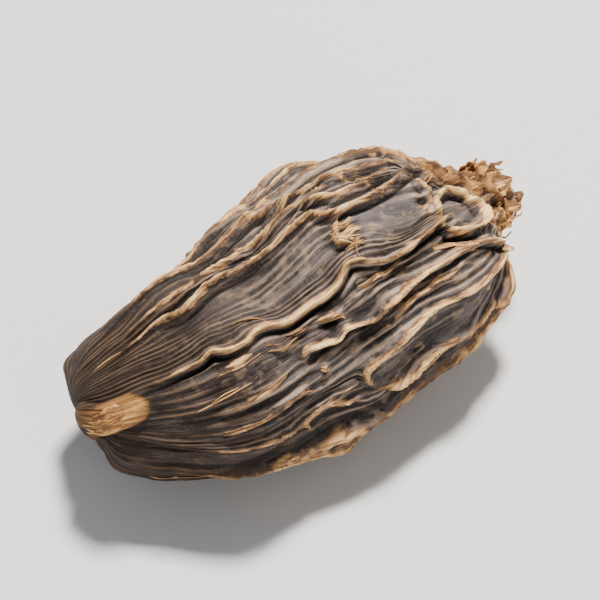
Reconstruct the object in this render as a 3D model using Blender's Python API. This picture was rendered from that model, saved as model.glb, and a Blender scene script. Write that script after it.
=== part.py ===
# A black cardamom pod: one dried fruit, lying on its side on a small flat spot.
# +X runs from the stalk end to the withered flower end and +Z is up. The origin is on the
# surface that the pod lies on, under the middle of its bounding box.
import math

import bmesh
import bpy
import numpy as np

# The sizes below are millimetres and degrees, and Blender's own unit is the metre.
MM = 0.001

# Profile of the body without its ridges: (distance from the stalk end, half width).
# The last points turn into the neck, the flared rim and the cup of the withered flower.
BODY_PROFILE = (
    (0.5, 0.0), (0.7, 1.3), (1.3, 2.7), (2.6, 4.2), (5.0, 5.8), (8.7, 6.9), (12.6, 7.2),
    (16.5, 7.8), (20.4, 8.1), (24.3, 6.9), (27.8, 5.2), (29.6, 3.7), (30.6, 2.5),
)
FLOWER_PROFILE = ((31.2, 1.9), (31.8, 1.6), (32.6, 1.75), (33.0, 1.4), (32.9, 0.7), (32.7, 0.0))
NECK_ALONG = BODY_PROFILE[-1][0]
FLOWER_SHARE = (0.93, 0.955)  # share of the rings where the flower begins
STALK_POLE = (0.3, 2.2)  # the relief fades out over this stretch, to close at the stalk end

# The middle line isn't straight: (distance along, drift sideways, towards SIDE_ANGLE).
MIDDLE_LINE = (
    (0.0, -1.0), (2.8, 0.2), (5.5, 1.0), (8.7, 1.2), (12.6, 0.9), (16.5, 0.2), (20.4, -0.8),
    (24.3, -0.4), (28.2, -0.5), (30.6, -1.1), (33.1, -1.6),
)
FLATNESS = 0.9  # height over width
THREE_SIDED = 0.03  # the fruit has three cells, so its section is a little three-sided

# Angles are counted round +X, from straight up towards -Y.
FACING_ANGLE = 30.0  # the meridian that the routes below are read from
SIDE_ANGLE = FACING_ANGLE + 90.0
CREST_ABOVE = 0.6  # a crest stands about this far off the body, which shows at the outline
RIM_SHARE = 0.955  # a route is kept this near to the outline that shows from FACING_ANGLE

# The routes are read from a place that looks a little along the pod. A distance along the pod
# shows there scaled and moved, and a point that is higher shows nearer to the flower end.
SHOWN_SCALE = 1.074
SHOWN_START = -1.42
LOOK_SLANT = 0.27
LOOK_TURN = -2.5  # degrees that make up for the body being less high than wide
ROUTE_ENDS = (0.8, NECK_ALONG)

# The far side has the same kind of net, this much further round, with its routes moved a little.
FAR_TURN = 172.0
FAR_SHIFT_ROUND = 6.0
FAR_SHIFT_ALONG = 0.8
FAR_HEIGHT = (0.85, 1.1)
FAR_SEED = 21

# Ridges of the side that faces FACING_ANGLE: height, then the route as it looks from there:
# (distance along, distance across from the straight middle line towards SIDE_ANGLE).
RIDGES = {
    "top_edge": (0.85, ((16.2, -7.7), (17.0, -8.4), (18.4, -9.0), (20.8, -9.3), (22.3, -8.8),
                        (24.2, -7.6), (26.1, -6.6), (28.1, -5.8), (29.5, -4.3), (30.7, -3.1))),
    "below_top": (0.8, ((0.9, -3.6), (4.8, -4.7), (8.7, -5.7), (11.6, -6.5), (13.6, -6.7),
                        (15.5, -7.2), (17.0, -7.6), (20.4, -7.6), (22.4, -7.2), (24.3, -6.5),
                        (26.7, -5.8))),
    "upper_broad": (0.7, ((1.4, -2.9), (3.8, -3.6), (7.7, -4.2), (11.6, -4.7), (13.6, -5.3),
                          (15.5, -5.8), (17.5, -6.1), (19.4, -6.4), (20.9, -6.1), (22.4, -5.7),
                          (24.3, -5.9), (26.3, -5.5))),
    "upper_bold": (0.95, ((1.4, -2.1), (4.8, -2.9), (8.7, -3.6), (10.6, -3.5), (12.6, -4.0),
                          (14.5, -4.3), (16.5, -4.6), (18.4, -5.0), (19.9, -5.2), (20.9, -4.8),
                          (23.3, -4.8), (25.3, -5.0), (26.5, -5.3), (27.4, -4.8), (28.9, -3.9))),
    "big_cell_end": (0.6, ((21.7, -4.7), (21.0, -3.8), (20.8, -3.1), (21.6, -2.5), (21.5, -1.6))),
    "middle_bold": (1.05, ((5.2, 0.0), (6.7, -0.1), (8.7, -0.1),
                          (10.2, -0.1), (11.1, -0.3), (11.8, 0.1), (12.9, 0.2), (13.9, -0.2),
                          (15.0, -0.1), (16.0, 0.1), (17.5, -0.2), (19.4, -0.6), (20.1, -1.0),
                          (20.7, -1.6), (21.4, -1.5), (22.3, -1.0), (23.3, -0.7), (24.8, -0.9),
                          (25.8, -1.3), (27.0, -1.6), (27.8, -1.5))),
    "middle_spur_up": (0.4, ((12.6, -1.2), (14.1, -0.9), (14.9, -0.3))),
    "middle_spur_down": (0.5, ((15.0, 0.7), (16.0, 0.9), (17.0, 0.8), (17.8, 0.1))),
    "lower_hook": (0.95, ((15.8, 3.2), (15.9, 2.7), (16.4, 2.3), (17.5, 2.5), (18.4, 2.7),
                         (19.1, 2.3), (19.9, 2.5), (20.9, 2.7), (21.9, 2.2), (24.3, 1.4),
                         (27.2, 0.9), (28.2, 0.8), (29.1, 1.1), (29.9, 1.8))),
    "hook_loop": (0.55, ((17.2, 0.9), (18.4, 1.1), (19.2, 1.4), (19.3, 2.2))),
    "lower_long": (0.85, ((19.0, 7.0), (18.8, 6.5), (18.9, 5.9), (19.4, 5.5), (21.4, 4.8),
                         (24.3, 3.9), (25.5, 3.6), (26.7, 3.4), (28.7, 2.6), (30.5, 1.7))),
    "lower_edge_inner": (0.75, ((18.8, 7.1), (20.9, 7.1), (22.4, 6.8), (24.3, 6.2), (26.3, 5.6),
                                (28.2, 4.7), (29.2, 4.2), (29.8, 3.1), (30.2, 2.1))),
    "lower_edge": (1.25, ((2.2, 3.9), (4.2, 5.4), (5.3, 6.0), (6.7, 7.0), (8.7, 8.0), (10.6, 8.3),
                         (12.6, 8.1), (14.5, 8.4), (16.5, 8.9), (18.4, 8.4), (20.4, 7.9),
                         (22.4, 7.6), (24.3, 7.1), (26.3, 6.4), (28.2, 5.6), (29.7, 4.9))),
    "lower_broad": (0.7, ((5.0, 4.7), (6.7, 5.5), (8.7, 6.1), (10.6, 6.5), (12.6, 6.8),
                          (14.1, 7.0), (15.5, 6.6), (16.5, 7.1), (18.2, 7.5))),
    "lower_short": (0.5, ((9.0, 5.2), (11.1, 5.2), (12.6, 5.0), (14.1, 4.8), (15.1, 4.9),
                          (15.9, 5.5))),
    "lower_thin": (0.35, ((9.4, 4.2), (11.6, 3.7), (13.6, 3.3), (15.0, 3.1))),
    "stalk_thin": (0.3, ((6.2, 3.1), (8.2, 3.1), (11.6, 2.7), (13.1, 2.3))),
    "knot": (0.6, ((16.5, 4.0), (17.2, 4.3))),
    "end_ring": (0.6, ((27.6, -1.9), (28.0, -2.8), (29.1, -3.2), (30.1, -2.7), (30.5, -1.5),
                       (30.0, -0.3), (28.9, 0.1), (27.8, -0.4), (27.4, -1.2), (27.6, -1.9))),
    "end_link": (0.6, ((26.6, -5.3), (26.9, -4.4), (27.3, -3.5), (26.6, -2.6), (27.0, -1.7))),
    "end_lump": (0.5, ((27.4, -3.6), (28.3, -3.7), (29.0, -3.0))),
    "end_fold": (0.55, ((29.9, 1.8), (30.6, 1.1), (30.8, 0.1))),
}

# Long ridges of the two sides, where the nets meet: (height, start, end, degrees from facing).
SIDE_RIDGES = (
    (0.5, 5.0, 26.0, 90.0), (0.7, 3.0, 29.0, 99.0), (0.7, 7.0, 24.0, 109.0),
    (0.5, 3.0, 27.0, -95.0), (0.6, 6.0, 29.0, -104.0),
)

RIDGE_REACH = 3.0  # how far from its crest a ridge still lifts the skin
TENT_FADES = 1.8  # distance where that lift starts to fade out
RIDGE_TENT = 0.62  # width of the skin that is drawn up to a crest
RIDGE_CORD = 0.3  # half width of the cord along the crest
CORD_SHARE = 0.62  # share of a ridge's height that is its cord
GROOVE_AT = 0.6  # distance from the crest of the groove beside it
GROOVE_WIDTH = 0.24
GROOVE_DEPTH = 0.3
TAPER = 1.6  # length over which a ridge runs out
RIDGE_END = 0.25  # height of a ridge's end, as a share of its height
FAINT_RIDGE = 0.22  # height of a ridge at the stalk end, as a share of its full height
RIDGES_GROW = (2.0, 11.0)
STEP = 0.25  # spacing of the points along a route
SMOOTH_MAX_POWER = 5.0

# A ridge wanders about its route: (length of a bend, sideways swing).
WANDER = ((2.3, 0.1), (1.0, 0.07))
NAMED_WANDER = 0.5  # share of that swing for the ridges whose bends are in their routes
WANDER_GROWTH = (0.5, 1.2)  # at the stalk end and at the neck
WANDER_RADIUS = 2.0  # nearer to the middle line than this, the swing gets no wider
WANDER_SEED = 11

# Fine ridges fill the skin between the named ones.
FINE_RIDGES = 96
FINE_HEIGHT = (0.18, 0.38)
FINE_LENGTH = (3.0, 9.0)
FINE_START = (1.5, 26.0)
FINE_SLANT = 0.012  # radians round for each millimetre along, at most
FINE_SEED = 5
FIRST_FINE_SEED = 1000

# Dark holes of the facing side: (distance along, distance across, radius, depth).
PITS = (
    (26.8, -3.0, 0.4, 0.6), (29.0, -3.3, 0.4, 0.5), (27.5, -0.1, 0.4, 0.6), (30.5, 1.0, 0.35, 0.5),
    (18.1, 1.5, 0.45, 0.6), (23.1, -0.2, 0.5, 0.35), (17.2, 3.2, 0.5, 0.35),
)

# The stalk broke off short, and its stub lies in the skin: the route of its middle.
STUB_ROUTE = ((1.8, 1.2), (3.8, 1.1), (6.4, 1.1))
STUB_HALF_WIDTH = 1.05
STUB_HEIGHT = 0.8
STUB_RUN_OUT = 3.0
STUB_PIT = (1.9, 1.3, 0.45, 0.9)

# Broad dents and swellings of the dried body: (wavelength, height, stretch along the pod, seed).
LUMPS = ((8.0, 0.28, 1.3, 3), (2.6, 0.07, 2.2, 4))
WAVES = 22  # plane waves that are added up for one kind of lump
CRUMPLE = (1.1, 0.24, 1.0, 8)  # the same, on the withered flower only

REST_CUT = 0.85  # how far the lowest crests are pressed flat
ON_FLOOR = 0.02  # what lies within this of the floor, once the mesh is thinned, lies on it
REST_SPOT = (9.0, 4.4)  # length and width of the flat spot in the middle of the underside
REST_BLEND = 1.9  # the spot runs out into the skin at this many times its size

SEGMENTS = 360
RINGS = 220
TRIANGLES = 11400  # left once the mesh is thinned

HUSK_COLOUR = (0.105, 0.078, 0.063, 1.0)
HUSK_ROUGHNESS = 0.72


def smooth_through(points, step):
    """Points about a step apart on one smooth (Catmull-Rom) curve through the given points."""
    points = np.asarray(points, float)
    before, after = 2 * points[0] - points[1], 2 * points[-1] - points[-2]
    knots = np.vstack((before, points, after))
    curve = []
    for a, b, c, d in zip(knots, knots[1:], knots[2:], knots[3:]):
        count = max(1, math.ceil(np.linalg.norm(c - b) / step))
        t = (np.arange(count) / count)[:, None]
        curve.append(
            0.5 * (2 * b + (c - a) * t + (2 * a - 5 * b + 4 * c - d) * t**2
                   + (3 * b - a - 3 * c + d) * t**3)
        )
    return np.vstack((*curve, points[-1:]))


def evenly_spaced(curve, count):
    """The same curve as a given number of points, evenly spaced along it."""
    travelled = np.append(0.0, np.cumsum(np.linalg.norm(np.diff(curve, axis=0), axis=1)))
    wanted = np.linspace(0.0, travelled[-1], count)
    return np.column_stack([np.interp(wanted, travelled, column) for column in curve.T])


def body_rings():
    """(distance along, half width) of each ring of the mesh, from pole to pole."""
    rings = evenly_spaced(smooth_through(BODY_PROFILE + FLOWER_PROFILE, STEP), RINGS + 1)
    rings[[0, -1], 1] = 0.0
    return rings


def middle_drift(along):
    curve = smooth_through(MIDDLE_LINE, STEP)
    return np.interp(along, curve[:, 0], curve[:, 1])


def half_width(along):
    """Half width of the body at a distance along it, up to its neck."""
    curve = smooth_through(BODY_PROFILE, STEP)
    return np.interp(along, curve[:, 0], curve[:, 1])


def across_direction(angle):
    """Unit vector round the pod, from straight up towards -Y."""
    return np.column_stack((np.zeros_like(angle), -np.sin(angle), np.cos(angle)))


def on_body(along, width, angle):
    """Points of the smooth body: angle is in radians, and width is the half width there."""
    section = width * (1.0 + THREE_SIDED * np.cos(3.0 * angle))
    around = across_direction(angle) * np.array((0.0, 1.0, FLATNESS)) * section[:, None]
    side = across_direction(np.array([math.radians(SIDE_ANGLE)]))
    middle = middle_drift(along)[:, None] * side
    middle[:, 0] = along
    return middle + around


def as_it_looks(route, turn_degrees):
    """Distance along and angle round the pod, in radians, of a route given as it looks."""
    shown = SHOWN_START + SHOWN_SCALE * route[:, 0]
    along = shown
    for _ in range(5):
        along = np.clip(along, *ROUTE_ENDS)
        reach = half_width(along) + CREST_ABOVE
        share = np.clip((route[:, 1] - middle_drift(along)) / reach, -RIM_SHARE, RIM_SHARE)
        angle = np.arcsin(share)
        along = shown - LOOK_SLANT * reach * np.cos(angle)
    turn = math.radians(FACING_ANGLE + LOOK_TURN + turn_degrees)
    return np.clip(along, *ROUTE_ENDS), angle + turn


def wobble(travelled, length, draw):
    """An irregular wave from -1 to 1, with a bend about every length."""
    knots = draw.uniform(-1.0, 1.0, int(travelled[-1] / length) + 3)
    place = travelled / length + draw.uniform()
    cell = np.floor(place).astype(int)
    share = smooth_step(place - cell, 0.0, 1.0)
    return knots[cell] * (1.0 - share) + knots[cell + 1] * share


def wandered(along, angle, seed, share):
    """The route with the sideways wander of a dried ridge, which grows towards the flower end."""
    draw = np.random.default_rng((WANDER_SEED, seed))
    radius = np.maximum(half_width(along), WANDER_RADIUS)
    growth = np.interp(along, (0.0, NECK_ALONG), WANDER_GROWTH)
    travelled = np.append(0.0, np.cumsum(np.hypot(np.diff(along), np.diff(angle) * radius[1:])))
    swing = sum(size * wobble(travelled, length, draw) for length, size in WANDER)
    return angle + share * swing * growth / radius


def crest_line(along, angle, seed, wander_share=1.0):
    angle = wandered(along, angle, seed, wander_share)
    return on_body(along, half_width(along), angle)


def facing_routes():
    """(height, crest points) of each named ridge, on the side that they are read from."""
    for seed, (height, route) in enumerate(RIDGES.values()):
        curve = smooth_through(route, STEP)
        yield height, crest_line(*as_it_looks(curve, 0.0), seed, NAMED_WANDER)


def far_routes():
    """The same net turned to the far side, with every route moved and bent anew."""
    draw = np.random.default_rng(FAR_SEED)
    for seed, (height, route) in enumerate(RIDGES.values(), start=len(RIDGES)):
        curve = smooth_through(route, STEP)
        turn = FAR_TURN + draw.uniform(-FAR_SHIFT_ROUND, FAR_SHIFT_ROUND)
        along, angle = as_it_looks(curve, turn)
        along = np.clip(along + draw.uniform(-FAR_SHIFT_ALONG, FAR_SHIFT_ALONG), *ROUTE_ENDS)
        crest = crest_line(along, angle, seed, NAMED_WANDER)
        yield height * draw.uniform(*FAR_HEIGHT), crest


def side_routes():
    for seed, (height, start, end, turn) in enumerate(SIDE_RIDGES, start=2 * len(RIDGES)):
        along = np.arange(start, end, STEP)
        angle = np.full_like(along, math.radians(FACING_ANGLE + turn))
        yield height, crest_line(along, angle, seed)


def fine_routes():
    """Short, low ridges that run along the pod, spread evenly round it by the golden angle."""
    draw = np.random.default_rng(FINE_SEED)
    for number in range(FINE_RIDGES):
        start = draw.uniform(*FINE_START)
        along = np.arange(start, min(start + draw.uniform(*FINE_LENGTH), NECK_ALONG), STEP)
        slant = draw.uniform(-FINE_SLANT, FINE_SLANT) * (along - start)
        angle = number * math.pi * (3.0 - math.sqrt(5.0)) + slant
        yield draw.uniform(*FINE_HEIGHT), crest_line(along, angle, FIRST_FINE_SEED + number)


def nearest_on_route(points, crest):
    """Distance from each point to the crest line, and how far along it the nearest point is."""
    starts, runs = crest[:-1], np.diff(crest, axis=0)
    lengths = np.maximum(np.linalg.norm(runs, axis=1), 1e-6)
    travelled = np.append(0.0, np.cumsum(lengths))[:-1]
    away = points[:, None, :] - starts[None, :, :]
    share = np.clip(np.einsum("pij,ij->pi", away, runs) / lengths**2, 0.0, 1.0)
    gaps = np.linalg.norm(away - share[:, :, None] * runs[None, :, :], axis=2)
    nearest = gaps.argmin(axis=1)
    rows = np.arange(len(points))
    return gaps[rows, nearest], travelled[nearest] + share[rows, nearest] * lengths[nearest]


def ridge_growth(along):
    """Ridges are faint at the stalk end and full further on."""
    return FAINT_RIDGE + (1.0 - FAINT_RIDGE) * smooth_step(along, *RIDGES_GROW)


def ridge_section(distance):
    """Height of a ridge across its crest, as a share of its full height."""
    tent = np.exp(-distance / RIDGE_TENT) * (1.0 - smooth_step(distance, TENT_FADES, RIDGE_REACH))
    cord = np.exp(-((distance / RIDGE_CORD) ** 2))
    return (1.0 - CORD_SHARE) * tent + CORD_SHARE * cord


def smooth_step(value, low, high):
    share = np.clip((value - low) / (high - low), 0.0, 1.0)
    return share * share * (3.0 - 2.0 * share)


def ridge_lift(points, routes):
    """Lift of the skin by the ridges, blended where they meet, and the grooves beside them."""
    powers = np.zeros(len(points))
    groove = np.zeros(len(points))
    for height, crest in routes:
        low, high = crest.min(axis=0) - RIDGE_REACH, crest.max(axis=0) + RIDGE_REACH
        near = np.flatnonzero(((points > low) & (points < high)).all(axis=1))
        distance, travelled = nearest_on_route(points[near], crest)
        length = np.linalg.norm(np.diff(crest, axis=0), axis=1).sum()
        run_out = min(TAPER, length / 2)
        end = np.minimum(travelled, length - travelled)
        strength = height * (RIDGE_END + (1.0 - RIDGE_END) * smooth_step(end, 0.0, run_out))
        strength *= ridge_growth(points[near, 0])
        powers[near] += (strength * ridge_section(distance)) ** SMOOTH_MAX_POWER
        beside = np.exp(-(((distance - GROOVE_AT) / GROOVE_WIDTH) ** 2))
        groove[near] = np.maximum(groove[near], GROOVE_DEPTH * strength * beside)
    return powers ** (1.0 / SMOOTH_MAX_POWER) - groove


def lumps(points, wavelength, height, stretch, seed):
    """Smooth random swellings: plane waves of about one wavelength, added up."""
    draw = np.random.default_rng(seed)
    total = np.zeros(len(points))
    for _ in range(WAVES):
        direction = draw.normal(size=3)
        direction /= np.linalg.norm(direction)
        direction[0] /= stretch
        pace = 2 * math.pi / (wavelength * draw.uniform(0.7, 1.4))
        total += np.sin(points @ direction * pace + draw.uniform(0, 2 * math.pi))
    return height * total / math.sqrt(WAVES / 2)


def hollow(points, along, across, radius, depth):
    """A round pit of the facing side."""
    along, angle = as_it_looks(np.array(((along, across),)), 0.0)
    middle = on_body(along, half_width(along), angle)
    return depth * np.exp(-((np.linalg.norm(points - middle, axis=1) / radius) ** 2))


def stub_lift(points):
    """The broken stalk: a half-round peg that runs out into the skin."""
    along, angle = as_it_looks(smooth_through(STUB_ROUTE, STEP), 0.0)
    crest = on_body(along, half_width(along), angle)
    distance, travelled = nearest_on_route(points, crest)
    length = np.linalg.norm(np.diff(crest, axis=0), axis=1).sum()
    section = np.sqrt(np.clip(1.0 - (distance / STUB_HALF_WIDTH) ** 2, 0.0, 1.0))
    return STUB_HEIGHT * section * smooth_step(length - travelled, -0.5, STUB_RUN_OUT)


def profile_normals(rings):
    """Outward (along, across) direction of the profile at each ring."""
    tangent = np.gradient(rings, axis=0)
    normal = np.column_stack((-tangent[:, 1], tangent[:, 0]))
    return normal / np.linalg.norm(normal, axis=1)[:, None]


def pod_surface(ring, angle):
    """The finished surface, in millimetres, for each vertex's ring number and angle round the pod."""
    rings = body_rings()
    along, width = rings[ring].T
    smooth = on_body(along, width, angle)
    out = profile_normals(rings)[ring]
    outward = across_direction(angle) * out[:, 1:]
    outward[:, 0] = out[:, 0]

    # The withered flower has no ridges of its own, only crumpled skin.
    on_flower = smooth_step(ring / RINGS, *FLOWER_SHARE)
    routes = [*facing_routes(), *far_routes(), *side_routes(), *fine_routes()]
    lift = ridge_lift(smooth, routes) * (1.0 - on_flower)
    lift += sum(lumps(smooth, *kind) for kind in LUMPS) * (1.0 - on_flower)
    lift += lumps(smooth, *CRUMPLE) * on_flower
    lift -= hollow(smooth, *STUB_PIT) + sum(hollow(smooth, *pit) for pit in PITS)
    lift = lift * smooth_step(along, *STALK_POLE) + stub_lift(smooth)
    return smooth + outward * lift[:, None]


def clear_scene():
    for obj in list(bpy.data.objects):
        bpy.data.objects.remove(obj, do_unlink=True)


def flat_underside(points):
    """The pod pressed flat where it lies, with that spot under the middle of its box at z = 0."""
    points = points - (points.min(axis=0) + points.max(axis=0)) / 2
    floor = points[:, 2].min() + REST_CUT
    from_middle = np.linalg.norm(2 * points[:, :2] / REST_SPOT, axis=1)
    flat = (1.0 - smooth_step(from_middle, 1.0, REST_BLEND)) * (points[:, 2] < 0.0)
    points[:, 2] = np.maximum(points[:, 2], floor)
    points[:, 2] = (points[:, 2] - floor) * (1.0 - flat)
    return points


def husk_material():
    material = bpy.data.materials.new("husk")
    material.use_nodes = True
    shader = material.node_tree.nodes["Principled BSDF"]
    shader.inputs["Base Color"].default_value = HUSK_COLOUR
    shader.inputs["Roughness"].default_value = HUSK_ROUGHNESS
    shader.inputs["Metallic"].default_value = 0.0
    return material


def vertex_places(mesh):
    """The mesh's vertices in millimetres."""
    places = np.empty(len(mesh.vertices) * 3)
    mesh.vertices.foreach_get("co", places)
    return places.reshape(-1, 3) / MM


def set_vertex_places(mesh, places):
    mesh.vertices.foreach_set("co", (places * MM).ravel())
    mesh.update()


def sphere_mesh():
    """A sphere of radius 1 mm, whose rings become the pod's."""
    mesh = bpy.data.meshes.new("pod")
    sphere = bmesh.new()
    bmesh.ops.create_uvsphere(sphere, u_segments=SEGMENTS, v_segments=RINGS, radius=MM)
    sphere.to_mesh(mesh)
    sphere.free()
    return mesh


def draw_onto_pod(mesh):
    """Moves each vertex of the sphere to its place on the pod, which lies along +X."""
    x, y, z = vertex_places(mesh).T
    ring = np.rint((1.0 - np.arccos(np.clip(z, -1.0, 1.0)) / math.pi) * RINGS).astype(int)
    set_vertex_places(mesh, flat_underside(pod_surface(ring, np.arctan2(y, x))))


def thinned(pod, triangles):
    """The object's mesh with fewer triangles, most of them kept where it is ridged."""
    pod.data.calc_loop_triangles()
    thin = pod.modifiers.new("thin", "DECIMATE")
    thin.ratio = triangles / len(pod.data.loop_triangles)
    evaluated = pod.evaluated_get(bpy.context.evaluated_depsgraph_get())
    mesh = bpy.data.meshes.new_from_object(evaluated)
    pod.modifiers.remove(thin)
    return mesh


def settle(mesh):
    """Puts the middle of the thinned pod's box over the origin, and its flat spot at z = 0."""
    places = vertex_places(mesh)
    places[:, :2] -= (places[:, :2].min(axis=0) + places[:, :2].max(axis=0)) / 2
    places[places[:, 2] < ON_FLOOR, 2] = 0.0
    set_vertex_places(mesh, places)


def make_pod(collection):
    """The whole fruit, which grew as one body: ridged husk, stub of the stalk, withered flower."""
    pod = bpy.data.objects.new("pod", sphere_mesh())
    collection.objects.link(pod)
    draw_onto_pod(pod.data)
    pod.data = thinned(pod, TRIANGLES)
    pod.data.name = "pod"
    settle(pod.data)
    pod.data.materials.append(husk_material())
    pod.data.shade_smooth()


def main():
    clear_scene()
    collection = bpy.data.collections.new("black_cardamom_pod")
    bpy.context.scene.collection.children.link(collection)
    make_pod(collection)


main()
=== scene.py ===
import math

import bmesh
import bpy
import numpy as np
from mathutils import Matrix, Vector


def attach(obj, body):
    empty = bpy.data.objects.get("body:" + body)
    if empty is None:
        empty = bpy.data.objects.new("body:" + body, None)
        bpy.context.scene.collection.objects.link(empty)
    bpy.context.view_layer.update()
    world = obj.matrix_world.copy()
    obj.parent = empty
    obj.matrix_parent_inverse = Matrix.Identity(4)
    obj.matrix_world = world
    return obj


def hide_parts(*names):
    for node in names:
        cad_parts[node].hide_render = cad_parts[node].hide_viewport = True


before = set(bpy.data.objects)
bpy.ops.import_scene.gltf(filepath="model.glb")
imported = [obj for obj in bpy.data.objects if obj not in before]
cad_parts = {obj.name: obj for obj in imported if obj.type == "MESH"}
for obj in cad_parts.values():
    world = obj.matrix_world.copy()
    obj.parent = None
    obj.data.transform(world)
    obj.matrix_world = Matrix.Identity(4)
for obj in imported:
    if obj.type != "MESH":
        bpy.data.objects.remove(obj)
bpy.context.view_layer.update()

# A dried black cardamom pod, lying on its side. Lengths are millimetres until a mesh is written.
mm = 0.001

body = {
    # (distance from the stalk end, half width) of the body without its ridges
    "profile": (
        (0.5, 0.0), (0.7, 1.3), (1.3, 2.7), (2.6, 4.2), (5.0, 5.8), (8.7, 6.9), (12.6, 7.2),
        (16.5, 7.8), (20.4, 8.1), (24.3, 6.9), (27.8, 5.2), (29.6, 3.7), (30.6, 2.5),
    ),
    # the neck, rim and cup of the withered flower
    "flower": ((31.2, 1.9), (31.8, 1.6), (32.6, 1.75), (33.0, 1.4), (32.9, 0.7), (32.7, 0.0)),
    # (distance along, drift of the middle line towards the low side)
    "middleLine": (
        (0.0, -1.0), (2.8, 0.2), (5.5, 1.0), (8.7, 1.2), (12.6, 0.9), (16.5, 0.2), (20.4, -0.8),
        (24.3, -0.4), (28.2, -0.5), (30.6, -1.1), (33.1, -1.6),
    ),
    "flatness": 0.9,
    "threeSided": 0.03,
    "neck": 30.6,
    "flowerShare": (0.93, 0.955),
    "stalkPole": (0.3, 2.2),
    "routeEnds": (0.8, 30.6),
    "facing": 30.0,  # degrees round from straight up to the meridian that the routes are read from
    "rings": 224,
    "segments": 440,
    "quickRings": 150,
    "quickSegments": 280,
    "step": 0.25,  # spacing of the points along a curve
}

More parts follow.
